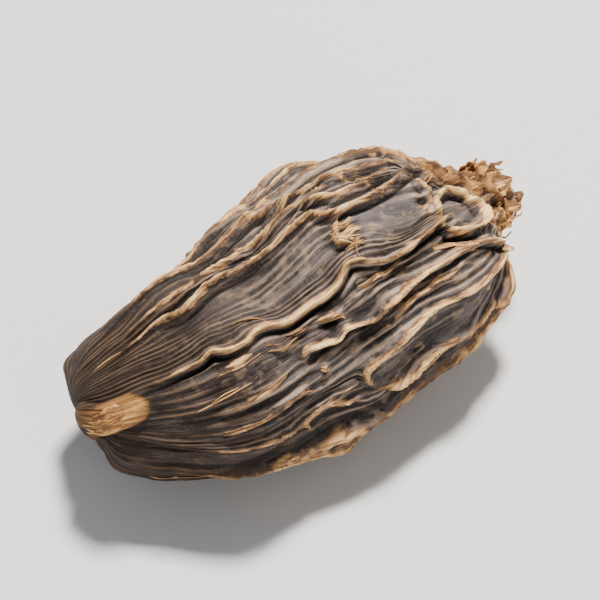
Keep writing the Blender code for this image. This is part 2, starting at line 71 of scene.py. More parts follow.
# Ridges of the facing side: height, paleness, then the route (distance along, distance across).
ridges = {
    "topEdge": (0.85, 0.7, (
        (16.2, -7.7), (17.0, -8.4), (18.4, -9.0), (20.8, -9.3), (22.3, -8.8), (24.2, -7.6),
        (26.1, -6.6), (28.1, -5.8), (29.5, -4.3), (30.7, -3.1),
    )),
    "belowTop": (0.8, 0.75, (
        (0.9, -3.6), (4.8, -4.7), (8.7, -5.7), (11.6, -6.5), (13.6, -6.7), (15.5, -7.2),
        (17.0, -7.6), (20.4, -7.6), (22.4, -7.2), (24.3, -6.5), (26.7, -5.8),
    )),
    "upperBroad": (0.7, 0.75, (
        (1.4, -2.9), (3.8, -3.6), (7.7, -4.2), (11.6, -4.7), (13.6, -5.3), (15.5, -5.8),
        (17.5, -6.1), (19.4, -6.4), (20.9, -6.1), (22.4, -5.7), (24.3, -5.9), (26.3, -5.5),
    )),
    "upperBold": (0.95, 1.0, (
        (1.4, -2.1), (4.8, -2.9), (8.7, -3.6), (10.6, -3.5), (12.6, -4.0), (14.5, -4.3),
        (16.5, -4.6), (18.4, -5.0), (19.9, -5.2), (20.9, -4.8), (23.3, -4.8), (25.3, -5.0),
        (26.5, -5.3), (27.4, -4.8), (28.9, -3.9),
    )),
    "bigCellEnd": (0.75, 1.2, (
        (21.7, -4.7), (21.0, -3.8), (20.8, -3.1), (21.6, -2.5), (21.5, -1.6),
    )),
    "middleBold": (1.05, 1.15, (
        (5.2, 0.0), (6.7, -0.1), (8.7, -0.1), (10.2, -0.1), (11.1, -0.3), (11.8, 0.1), (12.9, 0.2),
        (13.9, -0.2), (15.0, -0.1), (16.0, 0.1), (17.5, -0.2), (19.4, -0.6), (20.1, -1.0),
        (20.7, -1.6), (21.4, -1.5), (22.3, -1.0), (23.3, -0.7), (24.8, -0.9), (25.8, -1.3),
        (27.0, -1.6), (27.8, -1.5),
    )),
    "middleSpurUp": (0.4, 0.7, ((12.6, -1.2), (14.1, -0.9), (14.9, -0.3))),
    "middleSpurDown": (0.5, 0.7, ((15.0, 0.7), (16.0, 0.9), (17.0, 0.8), (17.8, 0.1))),
    "lowerHook": (0.95, 1.1, (
        (15.8, 3.2), (15.9, 2.7), (16.4, 2.3), (17.5, 2.5), (18.4, 2.7), (19.1, 2.3), (19.9, 2.5),
        (20.9, 2.7), (21.9, 2.2), (24.3, 1.4), (27.2, 0.9), (28.2, 0.8), (29.1, 1.1), (29.9, 1.8),
    )),
    "hookLoop": (0.6, 1.05, ((17.2, 0.9), (18.4, 1.1), (19.2, 1.4), (19.3, 2.2))),
    "lowerLong": (0.95, 1.1, (
        (19.0, 7.0), (18.8, 6.5), (18.9, 5.9), (19.4, 5.5), (21.4, 4.8), (24.3, 3.9), (25.5, 3.6),
        (26.7, 3.4), (28.7, 2.6), (30.5, 1.7),
    )),
    "lowerEdgeInner": (0.85, 1.1, (
        (18.8, 7.1), (20.9, 7.1), (22.4, 6.8), (24.3, 6.2), (26.3, 5.6), (28.2, 4.7), (29.2, 4.2),
        (29.8, 3.1), (30.2, 2.1),
    )),
    "lowerEdge": (1.25, 0.65, (
        (2.2, 3.9), (4.2, 5.4), (5.3, 6.0), (6.7, 7.0), (8.7, 8.0), (10.6, 8.3), (12.6, 8.1),
        (14.5, 8.4), (16.5, 8.9), (18.4, 8.4), (20.4, 7.9), (22.4, 7.6), (24.3, 7.1), (26.3, 6.4),
        (28.2, 5.6), (29.7, 4.9),
    )),
    "lowerBroad": (0.7, 0.8, (
        (5.0, 4.7), (6.7, 5.5), (8.7, 6.1), (10.6, 6.5), (12.6, 6.8), (14.1, 7.0), (15.5, 6.6),
        (16.5, 7.1), (18.2, 7.5),
    )),
    "lowerShort": (0.5, 0.7, (
        (9.0, 5.2), (11.1, 5.2), (12.6, 5.0), (14.1, 4.8), (15.1, 4.9), (15.9, 5.5),
    )),
    "lowerThin": (0.35, 0.6, ((9.4, 4.2), (11.6, 3.7), (13.6, 3.3), (15.0, 3.1))),
    "stalkThin": (0.3, 0.5, ((6.2, 3.1), (8.2, 3.1), (11.6, 2.7), (13.1, 2.3))),
    "knot": (0.65, 1.1, ((16.5, 4.0), (17.2, 4.3))),
    "endRing": (0.9, 1.35, (
        (28.9, 0.0), (27.7, -0.3), (27.1, -1.0), (27.1, -1.9), (27.5, -3.0), (28.5, -3.5),
        (29.6, -3.1), (30.2, -1.8), (29.9, -0.6), (28.9, 0.0), (27.7, -0.3), (27.1, -1.0),
        (27.1, -1.9),
    )),
    "endLink": (0.6, 0.8, ((26.6, -5.3), (26.9, -4.4), (27.3, -3.5), (26.6, -2.6), (27.0, -1.7))),
    "endLump": (0.5, 0.9, ((27.3, -4.4), (28.3, -4.7), (29.2, -4.4))),
    "endFold": (0.55, 0.8, ((29.9, 1.8), (30.6, 1.1), (30.8, 0.1))),
}

# Ridges that hardly wander from their routes.
straightRidges = ("lowerLong", "lowerEdgeInner", "upperBold")

# Long ridges of the two sides: (height, start, end, degrees from facing).
sideRidges = (
    (0.5, 5.0, 26.0, 90.0), (0.7, 3.0, 29.0, 99.0), (0.7, 7.0, 24.0, 109.0),
    (0.5, 3.0, 27.0, -95.0), (0.6, 6.0, 29.0, -104.0),
)

ridgeForm = {
    # the routes are read from a side that looks a little along the pod, so height shows as a shift
    "crestAbove": 0.6,
    "rimShare": 0.955,
    "shownScale": 1.074,
    "shownStart": -1.42,
    "lookSlant": 0.27,
    "lookTurn": -2.5,
    "lookRounds": 5,
    # the same ridges on the far side
    "farTurn": 172.0,
    "farShiftRound": 6.0,
    "farShiftAlong": 0.8,
    "farHeight": (0.85, 1.1),
    "farSeed": 21,
    "foldSeed": 4000,
    "sidePale": 0.8,
    # section of a ridge
    "reach": 3.0,
    "tent": 0.6,  # width of the skin that is drawn up to a crest
    "tentFades": 1.8,
    "cord": 0.2,  # half width of the cord along the crest
    "cordEdge": 1.4,  # above 2 the cord has steeper sides, and below it a sharper crest
    "cordShare": 0.66,
    "cordWave": 0.35,  # how much the cord's width and height change along it
    "grooveAt": 0.52,
    "grooveWidth": 0.2,
    "grooveDepth": 0.5,
    "grooveOther": 0.35,  # depth on the side that the crest leans away from, as a share
    "grooveSides": 0.15,  # half width of the change between the two sides
    "grooveWave": (0.7, 0.4),  # usual depth as a share, and how much it changes along the ridge
    "lean": 0.2,  # how far a crest of height 1 leans over its groove
    "leanWidth": 0.42,
    "blend": 5.0,
    # ridges are lower at their ends and near the stalk, and fine ones in calm cells
    "taper": 1.6,
    "endHeight": 0.25,
    "faint": 0.22,
    "grow": (2.0, 11.0),
    "calmFade": 0.85,
    # colour of the crests, and the painted shade in the crevices beside them
    "paleWidth": 0.185,
    "paleEdge": 1.6,
    "paleFaint": 0.15,
    "paleWorn": (0.85, 0.45),  # usual paleness as a share, and how much it changes
    "creviceShadeFull": (0.6, 1.2),  # height of a ridge with a full crevice, and the most it can be
    # (hold, width) of the fibres that a ridge leads, where it runs along the pod
    "holds": ((4.0, 0.5), (1.0, 1.4)),
    "leads": (0.6, 0.9),
    "straightHold": 0.05,
    # (length of a bend, sideways swing)
    "wander": ((2.3, 0.1), (1.0, 0.07), (0.5, 0.05)),
    "namedWander": 0.55,  # share of that swing for the ridges whose bends are in their routes
    "straightWander": 0.12,
    "wanderGrowth": (0.5, 1.2),
    "wanderRadius": 2.0,
    "wanderSeed": 11,
    # (length, change) of the crest's height, then the lengths of what else changes along it
    "swells": ((1.6, 0.45), (0.55, 0.3)),
    "thickens": 0.9,
    "wears": 1.7,
    "darkens": 2.6,
}

# Short folds of the facing side: height, paleness and route, as for the ridges.
folds = (
    (0.7, 1.2, ((20.7, -4.1), (21.4, -3.8), (22.1, -4.1))),
    (0.7, 1.3, ((20.4, -3.4), (21.2, -3.2), (21.9, -3.4), (22.4, -3.2))),
    (0.6, 1.2, ((20.9, -2.6), (21.6, -2.8), (22.3, -2.5))),
    (0.4, 0.9, ((13.8, 1.4), (15.2, 1.6), (16.4, 1.3))),
    (0.35, 0.8, ((20.6, 0.4), (22.2, 0.2), (24.0, 0.0), (25.4, -0.2))),
    (0.35, 0.8, ((21.4, 3.6), (23.4, 2.8), (25.8, 2.3), (27.8, 1.8))),
    (0.35, 0.8, ((10.6, 1.3), (12.2, 1.2), (13.6, 0.9))),
    (0.4, 0.9, ((26.2, 0.1), (27.0, 0.3), (28.2, 0.7))),
)

# Cells that are calmer than the rest: half width, calm and route. The first is the disc in the
# ring at the flower's end.
plainCells = (
    (1.3, 1.0, ((28.6, -1.8), (28.8, -1.7))),
    (1.5, 1.0, ((23.3, -3.3), (25.4, -3.2))),
    (1.0, 0.7, ((20.4, 6.1), (23.0, 5.3), (26.0, 4.6), (28.0, 3.6))),
    (1.7, 0.7, ((12.0, -2.0), (16.0, -2.3), (19.2, -2.9))),
)

# Short links that cross from one ridge towards the next.
crossLinks = {
    "count": 70, "height": (0.2, 0.45), "length": (0.8, 2.4), "start": (9.0, 29.0),
    "slant": (0.08, 0.3), "pale": (0.3, 0.9), "points": 10, "seed": 7, "firstSeed": 3000,
}

# Two sets of short ridges that run along the pod, one low and one that is hardly there.
fineSets = (
    {"count": 96, "height": (0.18, 0.38), "length": (3.0, 9.0), "start": (1.5, 26.0),
     "slant": 0.012, "seed": 5, "firstSeed": 1000, "pale": (0.15, 0.6)},
    {"count": 170, "height": (0.07, 0.16), "length": (2.0, 8.0), "start": (1.0, 28.0),
     "slant": 0.02, "seed": 6, "firstSeed": 2000, "pale": (0.05, 0.4)},
)

relief = {
    # (distance along, distance across, radius, depth)
    "pits": (
        (26.8, -3.3, 0.4, 0.6), (28.6, -4.2, 0.35, 0.5), (27.4, 0.0, 0.4, 0.6),
        (30.5, 1.0, 0.35, 0.5), (18.1, 1.5, 0.45, 0.6), (23.1, -0.2, 0.5, 0.35),
        (17.2, 3.2, 0.5, 0.35),
    ),
    "stubRoute": ((1.8, 1.2), (3.8, 1.1), (6.4, 1.1)),
    "stubHalfWidth": 1.05,
    "stubHeight": 0.8,
    "stubRunOut": (-0.5, 3.0),
    "stubEnd": 1.2,  # the colour of the stub ends this far before its route does
    "stubEdge": (0.75, 1.35),
    "stubTip": 0.6,  # share of the colour at the tip
    "stubFull": (0.8, 2.6),
    "stubPit": (1.9, 1.3, 0.45, 0.9),
    # (wavelength, height, stretch along the pod, seed)
    "lumps": ((8.0, 0.28, 1.3, 3), (2.6, 0.07, 2.2, 4)),
    "crumple": (1.1, 0.24, 1.0, 8),
    "crumpleBefore": 0.8,  # share of it where the skin turns to the flower's brown
    "waves": 22,
    "waveSpread": (0.7, 1.4),
    # fibres in the skin: (length, width, height, seed), and (length, width, seed) of their patches
    "fibres": ((7.0, 0.75, 0.085, 31), (5.0, 0.4, 0.06, 32)),
    "fibreSharp": 2.2,
    "fibrePatch": (5.0, 2.2, 30),
    "fibreHeight": (0.35, 0.9),  # least height as a share, and what a patch adds
    "fibreRoom": (0.8, 4.0),  # half width of the body over which they appear
    "fibreFade": 0.5,  # how much of them goes on the flower, and in calm cells
    "straightens": 40.0,  # length over which the fibres go back to running straight
    # thin parallel veins in the skin: (length, width, drift in veins, seed) and where they show
    "veinDrift": (6.0, 2.6, 1.4, 34),
    "veinPatch": (4.5, 1.3, 35),
    "veinShown": (0.15, 0.6),
    "veinFade": 0.8,
    "wrinkle": (0.9, 1.5, 0.05, 33),  # (length, width, height, seed) of the cross wrinkles
    "restCut": 0.85,
    "restSpot": (9.0, 4.4),
    "restBlend": 1.9,
    "flowRadius": 7.5,
    "calmEdge": (0.65, 1.1),
    # distances along over which the flower's brown starts and the stalk's dark brown and painted
    # shadow end
    "flowerFrom": (28.8, 31.0),
    "flowerEarly": (2.6, 3),  # how much earlier on the upper side, and a power that narrows it
    "flowerSpares": (0.3, 0.7),  # paleness of the ridges that stay free of it
    "stalkUntil": (2.0, 17.0),
    # the stalk's darkening reaches farther along at the upper and lower sides, as painted shadow
    "stalkShadeAside": 4.0,  # how much farther at the sides
    "blurShare": 80,  # the blur reaches over one in so many segments of the round
    # how far below its surroundings a point gets the full painted shade of a hollow, and how far
    # above them it counts in full as a top
    "hollowShadeDepth": 0.2,
    "topHeight": 0.22,
}

goldenTurn = math.pi * (3.0 - math.sqrt(5.0))


def smoothThrough(points, step):
    points = np.asarray(points, float)
    before, after = 2 * points[0] - points[1], 2 * points[-1] - points[-2]
    knots = np.vstack((before, points, after))
    curve = []
    for a, b, c, d in zip(knots, knots[1:], knots[2:], knots[3:]):
        count = max(1, math.ceil(np.linalg.norm(c - b) / step))
        t = (np.arange(count) / count)[:, None]
        curve.append(
            0.5 * (2 * b + (c - a) * t + (2 * a - 5 * b + 4 * c - d) * t**2
                   + (3 * b - a - 3 * c + d) * t**3)
        )
    return np.vstack((*curve, points[-1:]))


def evenlySpaced(curve, count):
    travelled = np.append(0.0, np.cumsum(np.linalg.norm(np.diff(curve, axis=0), axis=1)))
    wanted = np.linspace(0.0, travelled[-1], count)
    return np.column_stack([np.interp(wanted, travelled, column) for column in curve.T])


def smoothStep(value, low, high):
    share = np.clip((value - low) / (high - low), 0.0, 1.0)
    return share * share * (3.0 - 2.0 * share)


widthCurve = smoothThrough(body["profile"], body["step"])
driftCurve = smoothThrough(body["middleLine"], body["step"])


def halfWidth(along):
    return np.interp(along, widthCurve[:, 0], widthCurve[:, 1])


def middleDrift(along):
    return np.interp(along, driftCurve[:, 0], driftCurve[:, 1])


def acrossDirection(angle):
    return np.column_stack((np.zeros_like(angle), -np.sin(angle), np.cos(angle)))


def sidewaysDirection(angle):
    return np.column_stack((np.zeros_like(angle), -np.cos(angle), -np.sin(angle)))


def onBody(along, width, angle):
    section = width * (1.0 + body["threeSided"] * np.cos(3.0 * angle))
    around = acrossDirection(angle) * np.array((0.0, 1.0, body["flatness"])) * section[:, None]
    side = acrossDirection(np.array([math.radians(body["facing"] + 90.0)]))
    middle = middleDrift(along)[:, None] * side
    middle[:, 0] = along
    return middle + around


def crestLine(along, angle):
    return onBody(along, halfWidth(along), angle)


# Distance along and angle round the pod of points that are given as they look.
def asItLooks(points, turn=0.0):
    form = ridgeForm
    shown = form["shownStart"] + form["shownScale"] * points[:, 0]
    along = shown
    for _ in range(form["lookRounds"]):
        along = np.clip(along, *body["routeEnds"])
        reach = halfWidth(along) + form["crestAbove"]
        share = (points[:, 1] - middleDrift(along)) / reach
        angle = np.arcsin(np.clip(share, -form["rimShare"], form["rimShare"]))
        along = shown - form["lookSlant"] * reach * np.cos(angle)
    along = np.clip(along, *body["routeEnds"])
    return along, angle + math.radians(body["facing"] + form["lookTurn"] + turn)


def smoothRoute(route, turn=0.0):
    return asItLooks(smoothThrough(route, body["step"]), turn)


# An irregular wave from -1 to 1, with a bend about every length.
def wobble(travelled, length, draw):
    knots = draw.uniform(-1.0, 1.0, int(travelled[-1] / length) + 3)
    place = travelled / length + draw.uniform()
    cell = np.floor(place).astype(int)
    share = smoothStep(place - cell, 0.0, 1.0)
    return knots[cell] * (1.0 - share) + knots[cell + 1] * share


# One ridge as its crest line, with the slope that the fibres beside it follow.
def makeRidge(height, pale, lean, along, angle, seed, wander=1.0):
    form = ridgeForm
    draw = np.random.default_rng((form["wanderSeed"], seed))
    radius = np.maximum(halfWidth(along), form["wanderRadius"])
    growth = np.interp(along, (0.0, body["neck"]), form["wanderGrowth"])
    travelled = np.append(0.0, np.cumsum(np.hypot(np.diff(along), np.diff(angle) * radius[1:])))
    swing = sum(size * wobble(travelled, length, draw) for length, size in form["wander"])
    angle = angle + wander * swing * growth / radius
    run, turned = np.gradient(along), np.gradient(angle)
    lengthwise = np.abs(run) / np.maximum(np.hypot(run, turned * radius), 1e-6)
    return {
        "height": height, "pale": pale, "lean": lean, "crest": crestLine(along, angle),
        "along": along, "angle": angle,
        "slope": turned * run / (run**2 + 1e-5),
        "leads": smoothStep(lengthwise, *form["leads"]),
        "swell": sum(size * wobble(travelled, length, draw) for length, size in form["swells"]),
        "thick": wobble(travelled, form["thickens"], draw),
        "worn": wobble(travelled, form["wears"], draw),
        "dark": wobble(travelled, form["darkens"], draw),
    }


namedCount = 2 * len(ridges) + len(folds) + len(sideRidges)


def allRidges():
    form = ridgeForm
    made = []
    for seed, (name, (height, pale, route)) in enumerate(ridges.items()):
        wander = form["straightWander" if name in straightRidges else "namedWander"]
        made.append(makeRidge(height, pale, 1.0, *smoothRoute(route), seed, wander))
    for seed, (height, pale, route) in enumerate(folds, start=form["foldSeed"]):
        made.append(makeRidge(height, pale, 1.0, *smoothRoute(route), seed))
    draw = np.random.default_rng(form["farSeed"])
    turn, shift = form["farShiftRound"], form["farShiftAlong"]
    for seed, (height, pale, route) in enumerate(ridges.values(), start=len(ridges)):
        along, angle = smoothRoute(route, form["farTurn"] + draw.uniform(-turn, turn))
        along = np.clip(along + draw.uniform(-shift, shift), *body["routeEnds"])
        high = height * draw.uniform(*form["farHeight"])
        made.append(makeRidge(high, pale, -1.0, along, angle, seed, form["namedWander"]))
    for seed, (height, start, end, turn) in enumerate(sideRidges, start=2 * len(ridges)):
        along = np.arange(start, end, body["step"])
        angle = np.full_like(along, math.radians(body["facing"] + turn))
        made.append(makeRidge(height, form["sidePale"], 1.0, along, angle, seed))
    for fine in fineSets:
        draw = np.random.default_rng(fine["seed"])
        tone = np.random.default_rng(fine["firstSeed"])
        for number in range(fine["count"]):
            start = draw.uniform(*fine["start"])
            end = min(start + draw.uniform(*fine["length"]), body["neck"])
            along = np.arange(start, end, body["step"])
            slant = draw.uniform(-fine["slant"], fine["slant"]) * (along - start)
            angle = number * goldenTurn + slant
            made.append(makeRidge(
                draw.uniform(*fine["height"]), tone.uniform(*fine["pale"]),
                tone.uniform(-1, 1), along, angle, fine["firstSeed"] + number,
            ))
    draw = np.random.default_rng(crossLinks["seed"])
    for number in range(crossLinks["count"]):
        start, length = draw.uniform(*crossLinks["start"]), draw.uniform(*crossLinks["length"])
        along = np.linspace(start, min(start + length, body["neck"]), crossLinks["points"])
        slant = draw.uniform(*crossLinks["slant"]) * draw.choice((-1.0, 1.0))
        angle = draw.uniform(0, 2 * math.pi) + slant * (along - start)
        made.append(makeRidge(
            draw.uniform(*crossLinks["height"]), draw.uniform(*crossLinks["pale"]),
            draw.uniform(-1, 1), along, angle, crossLinks["firstSeed"] + number,
        ))
    return made


# Distance to the crest line, which side of it, and how far along it the nearest point is, for
# the points near it.
def nearestOnCrest(points, sideways, crest, reach):
    low, high = crest.min(axis=0) - reach, crest.max(axis=0) + reach
    near = np.flatnonzero(((points > low) & (points < high)).all(axis=1))
    close = points[near]
    best = np.full(len(near), 3.0 * reach)
    at, side = np.zeros((2, len(near)))
    runs = np.diff(crest, axis=0)
    lengths = np.maximum(np.linalg.norm(runs, axis=1), 1e-6)
    travelled = np.append(0.0, np.cumsum(lengths))
    bunch = 8
    for first in range(0, len(runs), bunch):
        starts = crest[first:first + bunch + 1]
        box = (close > starts.min(axis=0) - reach) & (close < starts.max(axis=0) + reach)
        inside = np.flatnonzero(box.all(axis=1))
        run, size = runs[first:first + bunch], lengths[first:first + bunch]
        away = close[inside][:, None, :] - crest[first:first + len(run)][None, :, :]
        share = np.clip(np.einsum("pij,ij->pi", away, run) / size**2, 0.0, 1.0)
        away -= share[:, :, None] * run[None, :, :]
        gaps = np.linalg.norm(away, axis=2)
        nearest = gaps.argmin(axis=1)
        rows = np.arange(len(inside))
        gap = gaps[rows, nearest]
        closer = gap < best[inside]
        chosen = inside[closer]
        best[chosen] = gap[closer]
        at[chosen] = (travelled[first + nearest] + share[rows, nearest] * size[nearest])[closer]
        across = np.einsum("pi,pi->p", away[rows, nearest], sideways[near[inside]])
        side[chosen] = across[closer]
    return near, best, side, at, travelled


# How calm each point is, and how much of that is the disc in the ring at the flower's end.
def calmFields(points, sideways):
    calm, disc = np.zeros((2, len(points)))
    inner, outer = relief["calmEdge"]
    for number, (reach, share, route) in enumerate(plainCells):
        crest = crestLine(*smoothRoute(route))
        near, distance, *_ = nearestOnCrest(points, sideways, crest, ridgeForm["reach"])
        inside = share * (1.0 - smoothStep(distance, inner * reach, outer * reach))
        calm[near] = np.maximum(calm[near], inside)
        if number == 0:
            disc[near] = inside
    return calm, disc


def bell(value, width, power=2.0):
    return np.exp(-((value / width) ** power))


# Goes from the least share to 1.
def atLeast(least, share):
    return least + (1.0 - least) * share


# What the ridges do to each point of the body: lift, paleness, painted crevice shade, lean and the
# slope of the fibres.
def ridgeFields(points, sideways, calm, made):
    form = ridgeForm
    power, groove, pale, creviceShade, lean, slope, weight = np.zeros((7, len(points)))
    for number, ridge in enumerate(made):
        near, distance, side, at, travelled = nearestOnCrest(
            points, sideways, ridge["crest"], form["reach"]
        )
        swell, thick, worn, dark, leads, turned = (
            np.interp(at, travelled, ridge[kind])
            for kind in ("swell", "thick", "worn", "dark", "leads", "slope")
        )
        length = travelled[-1]
        end = smoothStep(np.minimum(at, length - at), 0.0, min(form["taper"], length / 2))
        ends = atLeast(form["endHeight"], end)
        grown = atLeast(form["faint"], smoothStep(points[near, 0], *form["grow"]))
        shown = 1.0 - form["calmFade"] * calm[near] * (number >= namedCount)
        strength = ridge["height"] * ends * grown * shown

        tent = np.exp(-distance / form["tent"])
        tent *= 1.0 - smoothStep(distance, form["tentFades"], form["reach"])
        widens = 1.0 + form["cordWave"] * thick
        cord = bell(distance, form["cord"] * widens, form["cordEdge"])
        share = form["cordShare"] * (1.0 + form["cordWave"] * swell)
        section = (1.0 - form["cordShare"]) * tent + share * cord
        power[near] += np.maximum(strength * section, 0.0) ** form["blend"]

        under = smoothStep(side * ridge["lean"], -form["grooveSides"], form["grooveSides"])
        usual, change = form["grooveWave"]
        beside = bell(distance - form["grooveAt"], form["grooveWidth"])
        beside *= atLeast(form["grooveOther"], under) * (usual + change * dark)
        groove[near] = np.maximum(groove[near], form["grooveDepth"] * strength * beside)
        # painted shade: the crevice beside the crest is darkened in colour, most on the side that
        # the crest leans over
        full, most = form["creviceShadeFull"]
        creviceShade[near] = np.maximum(creviceShade[near], np.minimum(strength / full, most) * beside)

        usual, change = form["paleWorn"]
        tone = bell(distance, form["paleWidth"] * widens, form["paleEdge"]) * ridge["pale"]
        tone *= ends * atLeast(form["paleFaint"], grown) * (usual + change * worn) * shown
        pale[near] = np.maximum(pale[near], tone)
        push = ridge["lean"] * form["lean"] * strength * bell(distance, form["leanWidth"])
        stronger = np.abs(push) > np.abs(lean[near])
        lean[near] = np.where(stronger, push, lean[near])

        hold = sum(share * bell(distance, width) for share, width in form["holds"])
        hold *= ridge["height"] * leads
        slope[near] += hold * turned
        weight[near] += hold
    return {
        "lift": power ** (1.0 / form["blend"]) - groove, "pale": pale, "creviceShade": creviceShade,
        "lean": lean, "slope": slope / (weight + form["straightHold"]),
    }


def lumps(points, wavelength, height, stretch, seed):
    draw = np.random.default_rng(seed)
    total = np.zeros(len(points))
    for _ in range(relief["waves"]):
        direction = draw.normal(size=3)
        direction /= np.linalg.norm(direction)
        direction[0] /= stretch
        pace = 2 * math.pi / (wavelength * draw.uniform(*relief["waveSpread"]))
        total += np.sin(points @ direction * pace + draw.uniform(0, 2 * math.pi))
    return height * total / math.sqrt(relief["waves"] / 2)


# Smooth noise from 0 to 1, with about one swell to a unit.
def latticeNoise(points, seed, size=64):
    table = np.random.default_rng(seed).random((size, size, size))
    cell = np.floor(points).astype(int)
    part = points - cell
    part = part * part * (3.0 - 2.0 * part)
    total = np.zeros(len(points))
    for corner in range(8):
        bits = np.array((corner & 1, corner >> 1 & 1, corner >> 2 & 1))
        share = np.prod(np.where(bits == 1, part, 1.0 - part), axis=1)
        x, y, z = ((cell + bits) % size).T
        total += share * table[x, y, z]
    return total


def flowNoise(flow, length, wide, seed):
    return latticeNoise(flow / (length, wide, wide), seed)


def bump(points, along, across, radius):
    middle = crestLine(*asItLooks(np.array(((along, across),))))
    return bell(np.linalg.norm(points - middle, axis=1), radius)


# Lift of the stalk's stub, and a mask of where it is.
def stubFields(points, sideways):
    crest = crestLine(*smoothRoute(relief["stubRoute"]))
    near, distance, _, at, travelled = nearestOnCrest(
        points, sideways, crest, ridgeForm["reach"]
    )
    section = np.sqrt(np.clip(1.0 - (distance / relief["stubHalfWidth"]) ** 2, 0.0, 1.0))
    lift, mask = np.zeros((2, len(points)))
    runOut = smoothStep(travelled[-1] - at, *relief["stubRunOut"])
    lift[near] = relief["stubHeight"] * section * runOut
    beyond = np.hypot(distance, np.maximum(at - travelled[-1] + relief["stubEnd"], 0.0))
    shown = atLeast(relief["stubTip"], smoothStep(at, *relief["stubFull"]))
    mask[near] = (1.0 - smoothStep(beyond, *relief["stubEdge"])) * shown
    return lift, mask


# Blurs a field that lies on the grid of rings and segments.
def blurred(field, reach):
    offsets = np.arange(-2 * reach, 2 * reach + 1)
    weights = np.exp(-((offsets / reach) ** 2))
    weights /= weights.sum()
    rows = np.pad(field, ((2 * reach, 2 * reach), (0, 0)), mode="edge")
    field = sum(w * rows[k:k + len(field)] for k, w in enumerate(weights))
    return sum(w * np.roll(field, k, axis=1) for k, w in zip(offsets, weights))


# How far round the fibres have turned at each point of the grid, following the slopes there.
def followed(slope, along):
    count = slope.shape[1]
    segment = np.arange(count)
    turn = 2 * math.pi / count
    turned = np.zeros_like(slope)
    for ring in range(1, len(slope)):
        step = along[ring] - along[ring - 1]
        shift = slope[ring] * step
        before = np.append(turned[ring - 1], turned[ring - 1][0])
        came = np.interp((segment - shift / turn) % count, np.arange(count + 1), before)
        turned[ring] = (came - shift) * (1.0 - abs(step) / relief["straightens"])
    return turned.ravel()


# Height of the fibres and wrinkles in the skin, then the drift and the patches of its veins.
def fibreFields(flow):
    least, more = relief["fibreHeight"]
    patch = least + more * flowNoise(flow, *relief["fibrePatch"])
    fine = np.zeros(len(flow))
    for length, wide, high, seed in relief["fibres"]:
        across = np.abs(2.0 * flowNoise(flow, length, wide, seed) - 1.0)
        fine += high * (1.0 - relief["fibreSharp"] * across) * patch
    length, wide, high, seed = relief["wrinkle"]
    fine += high * (flowNoise(flow, length, wide, seed) - 0.5) * 2.0
    length, wide, drift, seed = relief["veinDrift"]
    drifts = drift * flowNoise(flow, length, wide, seed)
    return fine, drifts, smoothStep(flowNoise(flow, *relief["veinPatch"]), *relief["veinShown"])


# Presses the skin flat where it lies, as the solid is, and brings it to the frame's middle.
def pressFlat(places, low, high):
    middle = (low + high) / 2
    floor = low[2] - middle[2] + relief["restCut"]
    places -= middle
    fromMiddle = np.linalg.norm(2 * places[:, :2] / relief["restSpot"], axis=1)
    flat = (1.0 - smoothStep(fromMiddle, 1.0, relief["restBlend"])) * (places[:, 2] < 0.0)
    places[:, 2] = np.maximum(places[:, 2], floor)
    places[:, 2] = (places[:, 2] - floor) * (1.0 - flat)


